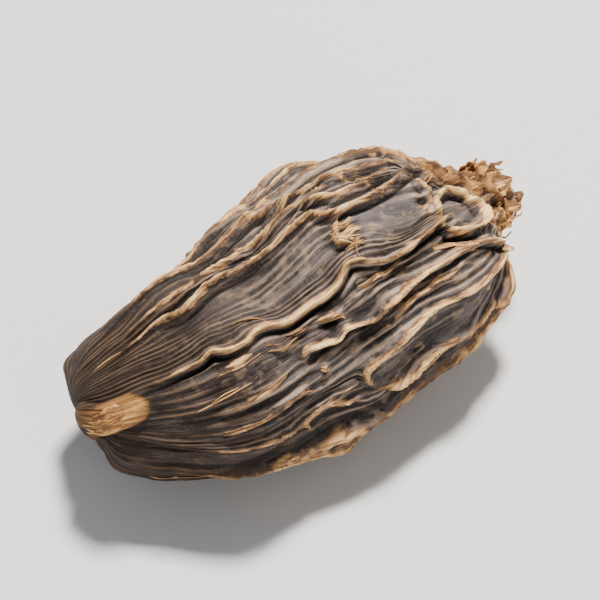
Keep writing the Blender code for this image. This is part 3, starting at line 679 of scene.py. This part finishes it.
# The pod's surface on a grid of rings and segments, and the fields that its material reads.
def podGrid(rings, segments, made):
    curve = evenlySpaced(
        smoothThrough(body["profile"] + body["flower"], body["step"]), rings + 1
    )
    curve[[0, -1], 1] = 0.0
    tangent = np.gradient(curve, axis=0)
    normal = np.column_stack((-tangent[:, 1], tangent[:, 0]))
    normal /= np.linalg.norm(normal, axis=1)[:, None]

    angle = np.tile(np.arange(segments) * 2 * math.pi / segments, rings + 1)
    ring = np.repeat(np.arange(rings + 1), segments)
    along, width = curve[ring].T
    smooth = onBody(along, width, angle)
    outward = acrossDirection(angle) * normal[ring][:, 1:]
    outward[:, 0] = normal[ring][:, 0]
    onFlower = smoothStep(ring / rings, *body["flowerShare"])

    sideways = sidewaysDirection(angle)
    calm, disc = calmFields(smooth, sideways)
    ridge = ridgeFields(smooth, sideways, calm, made)
    stub, stubMask = stubFields(smooth, sideways)
    lift = (ridge["lift"] + sum(lumps(smooth, *kind) for kind in relief["lumps"])) * (1 - onFlower)
    early, narrows = relief["flowerEarly"]
    upper = np.clip(np.cos(angle - math.radians(body["facing"] - 90.0)), 0.0, 1.0) ** narrows
    flower = smoothStep(along + early * upper, *relief["flowerFrom"]) * (1.0 - disc)
    crumpled = np.maximum(onFlower, relief["crumpleBefore"] * flower)
    lift += lumps(smooth, *relief["crumple"]) * crumpled
    *pit, depth = relief["stubPit"]
    stubPit = bump(smooth, *pit)
    lift -= depth * stubPit
    lift -= sum(deep * bump(smooth, x, y, radius) for x, y, radius, deep in relief["pits"])
    coarse = lift * smoothStep(along, *body["stalkPole"]) + stub

    # fibres follow the ridges, and wrinkles cross them
    slope = ridge["slope"].reshape(rings + 1, segments)
    around = relief["flowRadius"] * acrossDirection(angle + followed(slope, curve[:, 0]))
    flow = np.column_stack((along, around[:, 1], around[:, 2]))
    fine, veinDrift, veinShown = fibreFields(flow)
    fine *= smoothStep(width, *relief["fibreRoom"])
    fade = relief["fibreFade"]
    lift = coarse + fine * (1.0 - fade * onFlower) * (1.0 - fade * calm)

    base = smooth + outward * coarse[:, None]
    places = smooth + outward * lift[:, None]
    places += sideways * (ridge["lean"] * (1 - onFlower))[:, None]
    pressFlat(places, base.min(axis=0), base.max(axis=0))

    shape = (rings + 1, segments)
    height = lift.reshape(shape)
    above = height - blurred(height, max(3, round(segments / relief["blurShare"])))
    aside = np.sin(angle - math.radians(body["facing"])) ** 2
    spared = smoothStep(ridge["pale"], *relief["flowerSpares"]) * (1.0 - onFlower)
    fields = {
        "pale": ridge["pale"] * (1 - onFlower),
        "creviceShade": ridge["creviceShade"] * (1 - onFlower),
        "top": np.clip(above / relief["topHeight"], 0.0, 1.0).ravel(),
        # painted shade: the lower a point lies than its surroundings, the darker it is coloured
        "hollowShade": np.clip(-above / relief["hollowShadeDepth"], 0.0, 1.0).ravel(),
        "veinDrift": veinDrift,
        "veinShown": veinShown * (1.0 - relief["veinFade"] * calm),
        # the stalk end's own brown, which reaches farther along the sides as painted shadow
        "stalk": 1.0 - smoothStep(along - relief["stalkShadeAside"] * aside, *relief["stalkUntil"]),
        "stub": stubMask,
        # painted shade in the stub's pit, which the material darkens to near black
        "stubPit": stubPit,
        "flower": flower * (1.0 - spared),
        "calm": calm,
    }
    return places.reshape(*shape, 3), flow.reshape(*shape, 3), fields, curve[:, 0]


def addObject(name, data):
    made = bpy.data.objects.new(name, data)
    bpy.context.scene.collection.objects.link(made)
    return made


def asMesh(name, bm):
    mesh = bpy.data.meshes.new(name)
    bm.to_mesh(mesh)
    bm.free()
    return mesh


def readPlaces(mesh):
    places = np.empty(len(mesh.vertices) * 3)
    mesh.vertices.foreach_get("co", places)
    return places.reshape(-1, 3)


def writeMesh(name, mesh, places):
    mesh.vertices.foreach_set("co", (places * mm).ravel())
    mesh.update()
    mesh.shade_smooth()
    return addObject(name, mesh)


def writeField(mesh, name, values):
    kind, key = ("FLOAT", "value") if values.ndim == 1 else ("FLOAT_VECTOR", "vector")
    mesh.attributes.new(name, kind, "POINT").data.foreach_set(key, values.ravel())


def makeSkin(made):
    rings = body["rings"]
    segments = body["segments"]
    places, flow, fields, ringAlong = podGrid(rings, segments, made)
    for grid in (places, flow):
        grid[[0, -1]] = grid[[0, -1]].mean(axis=1, keepdims=True)

    bm = bmesh.new()
    bmesh.ops.create_uvsphere(bm, u_segments=segments, v_segments=rings, radius=1.0)
    mesh = asMesh("podSkin", bm)
    x, y, z = readPlaces(mesh).T
    ring = np.rint((1.0 - np.arccos(np.clip(z, -1.0, 1.0)) / math.pi) * rings).astype(int)
    segment = np.rint(np.arctan2(y, x) / (2 * math.pi) * segments).astype(int) % segments
    piece = writeMesh("podSkin", mesh, places[ring, segment])
    for name, field in fields.items():
        writeField(mesh, name, field.reshape(rings + 1, segments)[ring, segment])
    writeField(mesh, "flow", flow[ring, segment])
    return piece, {"places": places, "along": ringAlong}


# Points of the finished skin, in millimetres, at distances along it and angles round it.
def onSkin(skin, along, angle):
    places = skin["places"]
    last = np.argmax(skin["along"])
    ring = np.interp(along, skin["along"][:last], np.arange(last))
    segment = np.asarray(angle) / (2 * math.pi) * places.shape[1]
    low, left = np.floor(ring).astype(int), np.floor(segment).astype(int)
    up, over = (ring - low)[:, None], (segment - left)[:, None]
    left, right = left % places.shape[1], (left + 1) % places.shape[1]
    lower = places[low, left] * (1 - over) + places[low, right] * over
    upper = places[low + 1, left] * (1 - over) + places[low + 1, right] * over
    return lower * (1 - up) + upper * up


# Moves the rings of a new sphere onto a path: a strand, or a strip where width and thickness
# differ, with pointed ends.
def addStrip(bm, path, across, wide, thick, sides):
    rings = len(path) - 1
    run = np.gradient(path, axis=0)
    run /= np.linalg.norm(run, axis=1)[:, None]
    across = across - np.einsum("ij,ij->i", across, run)[:, None] * run
    across /= np.linalg.norm(across, axis=1)[:, None]
    normal = np.cross(run, across)
    made = bmesh.ops.create_uvsphere(bm, u_segments=sides, v_segments=rings, radius=1.0)
    for vert in made["verts"]:
        ring = round((1.0 - math.acos(max(-1.0, min(1.0, vert.co.z))) / math.pi) * rings)
        turn = math.atan2(vert.co.y, vert.co.x)
        inner = 0 < ring < rings
        side = across[ring] * wide[ring] * math.cos(turn) * inner
        rise = normal[ring] * thick * math.sin(turn) * inner
        vert.co = path[ring] + side + rise
    return len(made["verts"])


# Writes strips as one object: path, direction across, half width and tone of each.
def makeStrips(name, strips, form, material):
    bm = bmesh.new()
    counts = [addStrip(bm, *strip[:3], form["halfThickness"], form["sides"]) for strip in strips]
    mesh = asMesh(name, bm)
    piece = writeMesh(name, mesh, readPlaces(mesh))
    writeField(mesh, "tone", np.repeat([strip[3] for strip in strips], counts))
    mesh.materials.append(material)
    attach(piece, "root")


# Half width along a strand. It never gets to nothing.
def strandWidth(widest, share, bluntness):
    return widest * np.sin(math.pi * share) ** bluntness + 0.004


# Thin fibres that peel from the crests.
peelings = {
    "count": 120,
    "length": (1.5, 5.0),
    "halfWidth": (0.035, 0.075),
    "halfThickness": 0.03,
    "aside": 0.28,
    "peel": (0.0, 0.14),  # how far the middle or an end stands off the skin
    "oneEnd": 0.4,  # share of them that peel at one end
    "above": 0.3,  # height of the rest over the skin, as a share of the thickness
    "bend": (5.0, 0.1),  # (points, swing)
    "bluntness": 0.5,
    "aboveFloor": 0.5,
    "points": 15,
    "sides": 6,
    "seed": 41,
}


def peeledStrips(skin, named):
    draw = np.random.default_rng(peelings["seed"])
    strips = []
    for _ in range(peelings["count"]):
        ridge = named[draw.integers(len(named))]
        along, angle = ridge["along"], ridge["angle"]
        span = int(draw.uniform(*peelings["length"]) / body["step"])
        first = draw.integers(0, max(1, len(along) - span))
        rows = np.linspace(first, min(first + span, len(along) - 1), peelings["points"])
        pick = np.arange(len(along))
        along = np.interp(rows, pick, along)
        radius = np.maximum(halfWidth(along), ridgeForm["wanderRadius"])
        aside = draw.uniform(-1, 1) * peelings["aside"]
        length, swing = peelings["bend"]
        drift = wobble(rows - rows[0], length, draw) * swing
        angle = np.interp(rows, pick, angle) + (aside + drift) / radius
        share = np.linspace(0.0, 1.0, len(rows))
        shape = share**2 if draw.random() < peelings["oneEnd"] else np.sin(math.pi * share)
        off = peelings["halfThickness"] * peelings["above"]
        off = off + shape * draw.uniform(*peelings["peel"])
        path = onSkin(skin, along, angle) + acrossDirection(angle) * off[:, None]
        wide = strandWidth(draw.uniform(*peelings["halfWidth"]), share, peelings["bluntness"])
        tone = draw.random()
        if path[:, 2].min() > peelings["aboveFloor"]:
            strips.append((path, sidewaysDirection(angle), wide, tone))
    return strips


# Crumpled flakes that are left of the flower, round the neck.
flakes = {
    "count": 66,
    "start": (30.3, 32.3),  # distance along the pod
    "spread": 0.3,  # radians
    "sunk": 0.12,
    "length": (0.8, 1.9),
    "halfWidth": (0.25, 0.75),
    "strand": 0.3,  # width of every second one, as a share
    "narrows": 0.85,
    "halfThickness": 0.05,
    "outward": (0.0, 0.6),  # how far a flake leans out from the pod's direction
    "curl": (0.1, 1.7),
    "crumple": 0.17,
    "turn": 0.5,
    "twist": 0.6,
    "ragged": 0.4,
    # waves along a flake of its bends to the side and outwards, its twist and its ragged edge
    "waves": (3.0, 4.0, 2.0, 6.0),
    "points": 17,
    "sides": 12,
    "seed": 52,
}


def flakeStrips(skin):
    draw = np.random.default_rng(flakes["seed"])
    share = np.linspace(0.0, 1.0, flakes["points"])
    sideWaves, outWaves, twistWaves, edgeWaves = flakes["waves"]
    strips = []
    for number in range(flakes["count"]):
        turn = number * goldenTurn + draw.uniform(-flakes["spread"], flakes["spread"])
        turn = np.array((turn,))
        start = onSkin(skin, np.array((draw.uniform(*flakes["start"]),)), turn)[0]
        outward, sideways = acrossDirection(turn)[0], sidewaysDirection(turn)[0]
        lean = draw.uniform(*flakes["outward"]) - draw.uniform(*flakes["curl"]) * share
        step = draw.uniform(*flakes["length"]) / (flakes["points"] - 1)
        run = np.column_stack((np.cos(lean), np.sin(lean)))
        travelled = np.cumsum(run * step, axis=0) - run[0] * step
        path = start - outward * flakes["sunk"] + np.outer(travelled[:, 0], (1.0, 0.0, 0.0))
        path = path + np.outer(travelled[:, 1], outward)
        for way, waves in ((sideways, sideWaves), (outward, outWaves)):
            path = path + np.outer(flakes["crumple"] * wobble(share * waves, 1.0, draw), way)
        twist = draw.uniform(-flakes["turn"], flakes["turn"])
        twist = twist + flakes["twist"] * wobble(share * twistWaves, 1.0, draw)
        across = np.outer(np.cos(twist), sideways) + np.outer(np.sin(twist), outward)
        wide = draw.uniform(*flakes["halfWidth"]) * (1.0 - flakes["narrows"] * share**2)
        wide *= 1.0 + flakes["ragged"] * wobble(share * edgeWaves, 1.0, draw)
        wide *= flakes["strand"] if number % 2 else 1.0
        strips.append((path, across, wide, draw.random()))
    return strips


# Broken fibres round the end of the stalk's stub.
stubFibres = {
    "count": 18,
    "across": 0.8,
    "length": (0.5, 1.5),
    "leastRoom": 0.1,
    "leastRadius": 1.2,
    "lift": 0.06,
    "halfWidth": (0.05, 0.14),
    "halfThickness": 0.04,
    "bluntness": 0.4,
    "points": 11,
    "sides": 6,
    "seed": 63,
}


def stubStrips(skin):
    draw = np.random.default_rng(stubFibres["seed"])
    along, angle = smoothRoute(relief["stubRoute"])
    room = along[-1] - along[0] - relief["stubEnd"]
    share = np.linspace(0.0, 1.0, stubFibres["points"])
    strips = []
    for _ in range(stubFibres["count"]):
        span = draw.uniform(*stubFibres["length"])
        first = draw.uniform(0.0, max(stubFibres["leastRoom"], room - span))
        x = along[0] + first + np.linspace(0.0, span, stubFibres["points"])
        aside = draw.uniform(-1, 1) * stubFibres["across"]
        radius = np.maximum(halfWidth(x), stubFibres["leastRadius"])
        turn = np.interp(x, along, angle) + aside / radius
        lift = stubFibres["lift"] * draw.random() * np.linspace(1.0, 0.0, len(x)) ** 2
        path = onSkin(skin, x, turn) + acrossDirection(turn) * lift[:, None]
        wide = strandWidth(draw.uniform(*stubFibres["halfWidth"]), share, stubFibres["bluntness"])
        strips.append((path, sidewaysDirection(turn), wide, draw.random()))
    return strips


# Material helpers: a node with its inputs set, where an input may be another node's output.
class nodeMaker:
    def __init__(self, name):
        self.material = bpy.data.materials.new(name)
        self.material.use_nodes = True
        self.tree = self.material.node_tree
        self.shader = self.tree.nodes["Principled BSDF"]

    def add(self, kind, inputs=(), **settings):
        node = self.tree.nodes.new(kind)
        for key, value in settings.items():
            setattr(node, key, value)
        for key, value in dict(inputs).items():
            self.plug(node.inputs[key], value)
        return node

    def plug(self, socket, value):
        if isinstance(value, bpy.types.NodeSocket):
            self.tree.links.new(value, socket)
        else:
            socket.default_value = value

    def attribute(self, name, output="Fac"):
        return self.add("ShaderNodeAttribute", attribute_name=name).outputs[output]

    def math(self, operation, a, b=0.0, clamp=False):
        return self.add("ShaderNodeMath", {0: a, 1: b}, operation=operation,
                        use_clamp=clamp).outputs[0]

    def times(self, a, b):
        return self.math("MULTIPLY", a, b)

    def spread(self, value, low, high, toLow=0.0, toHigh=1.0):
        return self.add("ShaderNodeMapRange", {0: value, 1: low, 2: high, 3: toLow, 4: toHigh},
                        interpolation_type="SMOOTHSTEP").outputs[0]

    def noise(self, vector, scale, detail=3.0, roughness=0.55, kind="FBM"):
        place = self.add("ShaderNodeMapping", {"Vector": vector, "Scale": scale})
        return self.add("ShaderNodeTexNoise", {
            "Vector": place.outputs[0], "Scale": 1.0, "Detail": detail, "Roughness": roughness,
        }, noise_type=kind, normalize=True).outputs["Fac"]

    # thin lines along the flow, where the mesh says how they drift, and the gaps between them
    def veinLines(self, flow, veins):
        parts = self.add("ShaderNodeSeparateXYZ", {0: flow}).outputs
        turn = self.math("ARCTAN2", self.times(parts[1], -1.0), parts[2])
        phase = self.math("ADD", self.times(turn, veins["count"] / (2 * math.pi)),
                          self.attribute("veinDrift"))
        away = self.math("PINGPONG", phase, 0.5)
        return self.spread(away, *veins["edge"], 1.0, 0.0), self.spread(away, *veins["gap"])

    # (share, value) pairs added up
    def mixed(self, *parts):
        total = 0.0
        for share, value in parts:
            total = self.math("ADD", total, self.times(value, share))
        return total

    def ramp(self, value, *stops):
        node = self.add("ShaderNodeValToRGB", {0: value})
        elements = node.color_ramp.elements
        while len(elements) < len(stops):
            elements.new(0.5)
        for element, (position, colour) in zip(elements, stops):
            element.position = position
            element.color = (*colour, 1.0)
        return node.outputs[0]

    def blend(self, share, a, b):
        node = self.add("ShaderNodeMix", data_type="RGBA", blend_type="MIX")
        for socket, value in ((node.inputs[0], share), (node.inputs[6], a), (node.inputs[7], b)):
            self.plug(socket, (*value, 1.0) if isinstance(value, tuple) else value)
        return node.outputs[2]

    def bump(self, height, strength, distance):
        node = self.add("ShaderNodeBump", {"Height": height, "Strength": strength,
                                           "Distance": distance})
        self.plug(self.shader.inputs["Normal"], node.outputs[0])


# Colours are linear.
huskLook = {
    "skinDark": (0.011, 0.0074, 0.0062),
    "skin": (0.054, 0.0375, 0.032),
    "skinPale": (0.155, 0.117, 0.101),
    "skinLine": (0.430, 0.315, 0.240),
    "vein": (0.520, 0.375, 0.275),
    "skinWorn": (0.400, 0.265, 0.165),
    "skinCrack": (0.010, 0.006, 0.004),
    "bloom": (0.200, 0.168, 0.155),
    "cell": (0.140, 0.121, 0.118),
    # dark brown of the stalk end, and painted shadow where it reaches farther along the sides
    "stalkBrownAndShade": (0.024, 0.012, 0.0065),
    "stalkFibre": (0.150, 0.082, 0.040),
    "crestLow": (0.150, 0.074, 0.034),
    "crest": (0.600, 0.320, 0.130),
    "crestBright": (1.000, 0.650, 0.280),
    # near-black painted shade for the crevices beside the ridges, the hollows and the stub's pit
    "creviceShade": (0.004, 0.003, 0.0025),
    "stubDark": (0.090, 0.038, 0.013),
    "stub": (0.400, 0.180, 0.050),
    "stubBright": (0.860, 0.490, 0.150),
    "flowerDark": (0.070, 0.028, 0.011),
    "flower": (0.340, 0.158, 0.054),
    "flowerBright": (0.780, 0.430, 0.145),
    "veins": {"count": 80, "edge": (0.05, 0.27), "gap": (0.3, 0.48)},
    "roughness": (0.55, 0.85),
    "specular": 0.3,
    "bump": (0.75, 0.00035),  # strength, and distance in metres
}


def huskMaterial():
    look = huskLook
    m = nodeMaker("driedHusk")
    flow = m.attribute("flow", "Vector")
    place = m.add("ShaderNodeTexCoord").outputs["Object"]
    pale, top, hollowShade, stalk = (m.attribute(name) for name in ("pale", "top", "hollowShade", "stalk"))

    broad = m.noise(flow, (0.12, 0.9, 0.9))
    stria = m.noise(flow, (0.25, 2.4, 2.4), detail=2.0)
    fine = m.noise(flow, (0.4, 5.0, 5.0), roughness=0.5)
    ridged = {"detail": 2.0, "roughness": 0.5, "kind": "RIDGED_MULTIFRACTAL"}
    lines = m.noise(flow, (0.16, 1.9, 1.9), **ridged)
    cracks = m.noise(flow, (0.22, 2.3, 2.3), **ridged)
    hair = m.noise(flow, (1.2, 13.0, 13.0), roughness=0.5)
    wrinkle = m.noise(flow, (4.5, 1.6, 1.6), detail=2.0)
    blotch = m.noise(place, (850.0, 1150.0, 1150.0), roughness=0.6)
    patch = m.noise(place, (300.0, 360.0, 360.0))
    chip = m.noise(flow, (0.8, 4.5, 4.5), roughness=0.5)
    wear = m.noise(flow, (0.42, 1.2, 1.2))
    knots = m.noise(flow, (1.4, 2.2, 2.2), detail=2.0)
    threads = m.spread(m.noise(flow, (0.9, 11.0, 11.0), detail=2.0), 0.45, 0.62)
    speck = m.noise(place, (3800.0, 3800.0, 3800.0), detail=2.0)

    # skin between the ridges: streaks, with thin pale lines and thin dark ones
    grain = m.mixed((0.1, broad), (0.3, stria), (0.3, fine), (0.3, blotch))
    skin = m.ramp(grain, (0.42, look["skinDark"]), (0.5, look["skin"]), (0.585, look["skinPale"]))
    dust = m.times(m.spread(patch, 0.42, 0.66), m.spread(fine, 0.4, 0.62))
    skin = m.blend(m.times(dust, 0.6), skin, look["bloom"])
    plain = m.math("POWER", m.attribute("calm"), 3.0)
    skin = m.blend(m.times(plain, 0.5), skin, look["cell"])
    mottle = m.noise(place, (1000.0, 1250.0, 1250.0), detail=2.0, roughness=0.5)
    skin = m.blend(m.spread(mottle, 0.54, 0.68, 0.0, 0.45), skin, look["skinWorn"])
    pick = m.times(m.spread(lines, 0.56, 0.82), m.spread(wear, 0.36, 0.6, 0.1, 0.7))
    skin = m.blend(pick, skin, look["skinLine"])
    flecks = m.times(m.spread(chip, 0.52, 0.68), m.spread(knots, 0.48, 0.62, 0.0, 0.6))
    skin = m.blend(flecks, skin, look["skinWorn"])
    skin = m.blend(m.spread(cracks, 0.56, 0.82, 0.0, 0.95), skin, look["skinCrack"])
    # the stalk end darkened: partly its own brown, partly painted shadow along the upper and lower
    # sides
    brownAndShade = m.math("MULTIPLY", stalk, m.spread(broad, 0.3, 0.65, 0.65, 1.0), clamp=True)
    skin = m.blend(brownAndShade, skin, look["stalkBrownAndShade"])
    fibre = m.times(m.spread(m.mixed((0.6, lines), (0.6, top)), 0.45, 0.85), stalk)
    skin = m.blend(m.times(fibre, 0.6), skin, look["stalkFibre"])
    veins, gaps = (m.times(lines, m.attribute("veinShown"))
                   for lines in m.veinLines(flow, look["veins"]))
    skin = m.blend(m.times(gaps, 0.7), skin, look["skinDark"])
    vein = m.times(veins, m.spread(chip, 0.28, 0.48))
    veinColour = m.blend(stalk, look["vein"], look["stalkFibre"])
    skin = m.blend(m.times(vein, 0.9), skin, veinColour)

    # crests are worn pale in patches, brown where they aren't, and chipped lengthwise at the edge
    patchy = m.spread(m.mixed((0.55, wear), (0.45, knots)), 0.41, 0.58)
    worn = m.mixed((1.05, pale), (0.25, top), (0.45, chip), (0.2, patchy), (-0.16, stalk))
    tone = m.mixed((0.66, pale), (0.22, patchy), (0.5, chip), (-0.25, threads))
    crest = m.ramp(tone, (0.45, look["crestLow"]), (0.7, look["crest"]),
                   (0.95, look["crestBright"]))
    colour = m.blend(m.spread(worn, 0.62, 0.98), skin, crest)

    stubGrain = m.mixed((0.5, m.noise(flow, (0.5, 1.6, 1.6), detail=4.0)), (0.5, chip))
    stub = m.ramp(m.mixed((0.85, stubGrain), (0.42, m.attribute("stub"))),
                  (0.6, look["stubDark"]), (0.84, look["stub"]), (1.0, look["stubBright"]))
    edge = m.mixed((1.0, m.attribute("stub")), (1.3, stubGrain))
    colour = m.blend(m.spread(edge, 0.85, 1.35), colour, stub)
    crumple = m.noise(place, (900.0, 700.0, 700.0), detail=4.0)
    flower = m.ramp(crumple, (0.4, look["flowerDark"]), (0.53, look["flower"]),
                    (0.68, look["flowerBright"]))
    ragged = m.mixed((1.0, m.attribute("flower")), (0.9, chip))
    colour = m.blend(m.spread(ragged, 0.75, 1.2), colour, flower)
    # painted shade: hollows are darkened towards near black
    colour = m.blend(m.times(hollowShade, 0.6), colour, look["creviceShade"])
    # painted shade in the crevices beside the ridges, broken up by noise
    creviceShade = m.mixed((1.0, m.attribute("creviceShade")), (0.4, fine))
    colour = m.blend(m.spread(creviceShade, 0.5, 1.1, 0.0, 0.96), colour, look["creviceShade"])
    # painted shade: the stub's pit is darkened to near black
    colour = m.blend(m.spread(m.attribute("stubPit"), 0.3, 0.8), colour, look["creviceShade"])
    m.plug(m.shader.inputs["Base Color"], colour)

    m.plug(m.shader.inputs["Roughness"], m.spread(grain, 0.4, 0.6, *look["roughness"]))
    m.shader.inputs["Specular IOR Level"].default_value = look["specular"]
    height = m.mixed((0.35, stria), (0.4, fine), (0.25, lines), (-0.45, cracks), (0.25, hair),
                     (0.3, chip), (-0.12, threads), (0.35, wrinkle), (0.3, blotch), (0.08, speck),
                     (0.3, veins), (-0.2, gaps))
    m.bump(height, *look["bump"])
    return m.material


fibreLook = {
    "dark": (0.130, 0.058, 0.022),
    "middle": (0.440, 0.220, 0.080),
    "bright": (0.820, 0.470, 0.180),
    "stubDark": (0.130, 0.054, 0.016),
    "stubMiddle": (0.370, 0.160, 0.044),
    "stubBright": (0.780, 0.420, 0.130),
    "roughness": 0.75,
    "bump": (0.6, 0.0002),
}


def fibreMaterial(name, low, middle, high):
    m = nodeMaker(name)
    place = m.add("ShaderNodeTexCoord").outputs["Object"]
    blotch = m.noise(place, (900.0, 1500.0, 1500.0))
    thread = m.noise(place, (1200.0, 9000.0, 9000.0))
    tone = m.mixed((0.45, m.attribute("tone")), (0.9, blotch), (0.35, thread))
    colour = m.ramp(tone, (0.55, fibreLook[low]), (0.85, fibreLook[middle]),
                    (1.0, fibreLook[high]))
    m.plug(m.shader.inputs["Base Color"], colour)
    m.shader.inputs["Roughness"].default_value = fibreLook["roughness"]
    m.bump(m.mixed((0.6, blotch), (0.5, thread)), *fibreLook["bump"])
    return m.material


stageLook = {
    "colour": (0.78, 0.77, 0.75),
    "size": 3.0,  # metres
    "roughness": 0.6,
}


def makeFloor():
    bm = bmesh.new()
    bmesh.ops.create_grid(bm, x_segments=1, y_segments=1, size=stageLook["size"] / 2)
    mesh = asMesh("floor", bm)
    floor = addObject("floor", mesh)
    m = nodeMaker("paleFloor")
    m.shader.inputs["Base Color"].default_value = (*stageLook["colour"], 1.0)
    m.shader.inputs["Roughness"].default_value = stageLook["roughness"]
    mesh.materials.append(m.material)


camera = {
    "azimuth": -30.0,  # degrees, 0 looks along +Y
    "elevation": 56.0,
    "lens": 180.0,
    "frameWidth": 39.0,  # millimetres of the object that the picture is wide
    "sensor": 36.0,
    "clipStart": 0.01,
    "aim": (0.0, 0.0, 7.4),
}


def makeCamera():
    around, up = math.radians(camera["azimuth"]), math.radians(camera["elevation"])
    back = Vector((math.sin(around) * math.cos(up), -math.cos(around) * math.cos(up),
                   math.sin(up)))
    data = bpy.data.cameras.new("camera")
    data.lens = camera["lens"]
    data.sensor_width = camera["sensor"]
    data.clip_start = camera["clipStart"]
    view = addObject("camera", data)
    distance = camera["frameWidth"] * mm * camera["lens"] / camera["sensor"]
    view.location = Vector(camera["aim"]) * mm + back * distance
    view.rotation_euler = back.to_track_quat("Z", "Y").to_euler()
    bpy.context.scene.camera = view
    return view


# Lamps: direction as (right, up, towards the camera), distance and size in metres, watts.
lamps = {
    "key": {"from": (0.1, 0.85, 0.62), "distance": 0.5, "size": 0.08, "watts": 5.8,
            "colour": (1.0, 0.97, 0.92)},
    "fill": {"from": (0.8, -0.45, 0.6), "distance": 0.6, "size": 0.5, "watts": 1.7,
             "colour": (0.93, 0.96, 1.0)},
}
skyLook = {"colour": (0.95, 0.96, 1.0), "strength": 0.33}


def makeLight(view):
    turn = view.rotation_euler.to_matrix()
    for name, lamp in lamps.items():
        data = bpy.data.lights.new(name, "AREA")
        data.size = lamp["size"]
        data.energy = lamp["watts"]
        data.color = lamp["colour"]
        light = addObject(name, data)
        direction = (turn @ Vector(lamp["from"])).normalized()
        light.location = direction * lamp["distance"]
        light.rotation_euler = direction.to_track_quat("Z", "Y").to_euler()
    world = bpy.data.worlds.new("sky")
    bpy.context.scene.world = world
    world.use_nodes = True
    sky = world.node_tree.nodes["Background"]
    sky.inputs[0].default_value = (*skyLook["colour"], 1.0)
    sky.inputs[1].default_value = skyLook["strength"]


print("camera and lamps")
makeLight(makeCamera())
makeFloor()

print("skin of the pod")
crests = allRidges()
podSkin, skin = makeSkin(crests)
podSkin.data.materials.append(huskMaterial())
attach(podSkin, "root")
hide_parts("pod")

print("peeled fibres")
crestFibre = fibreMaterial("crestFibre", "dark", "middle", "bright")
makeStrips("peeledFibres", peeledStrips(skin, crests[:namedCount]), peelings, crestFibre)

print("flakes of the flower")
witheredFlower = fibreMaterial("witheredFlower", "dark", "middle", "bright")
makeStrips("flowerFlakes", flakeStrips(skin), flakes, witheredFlower)

print("fibres of the stub")
stubFibre = fibreMaterial("stubFibre", "stubDark", "stubMiddle", "stubBright")
makeStrips("stubFibres", stubStrips(skin), stubFibres, stubFibre)

print("done")
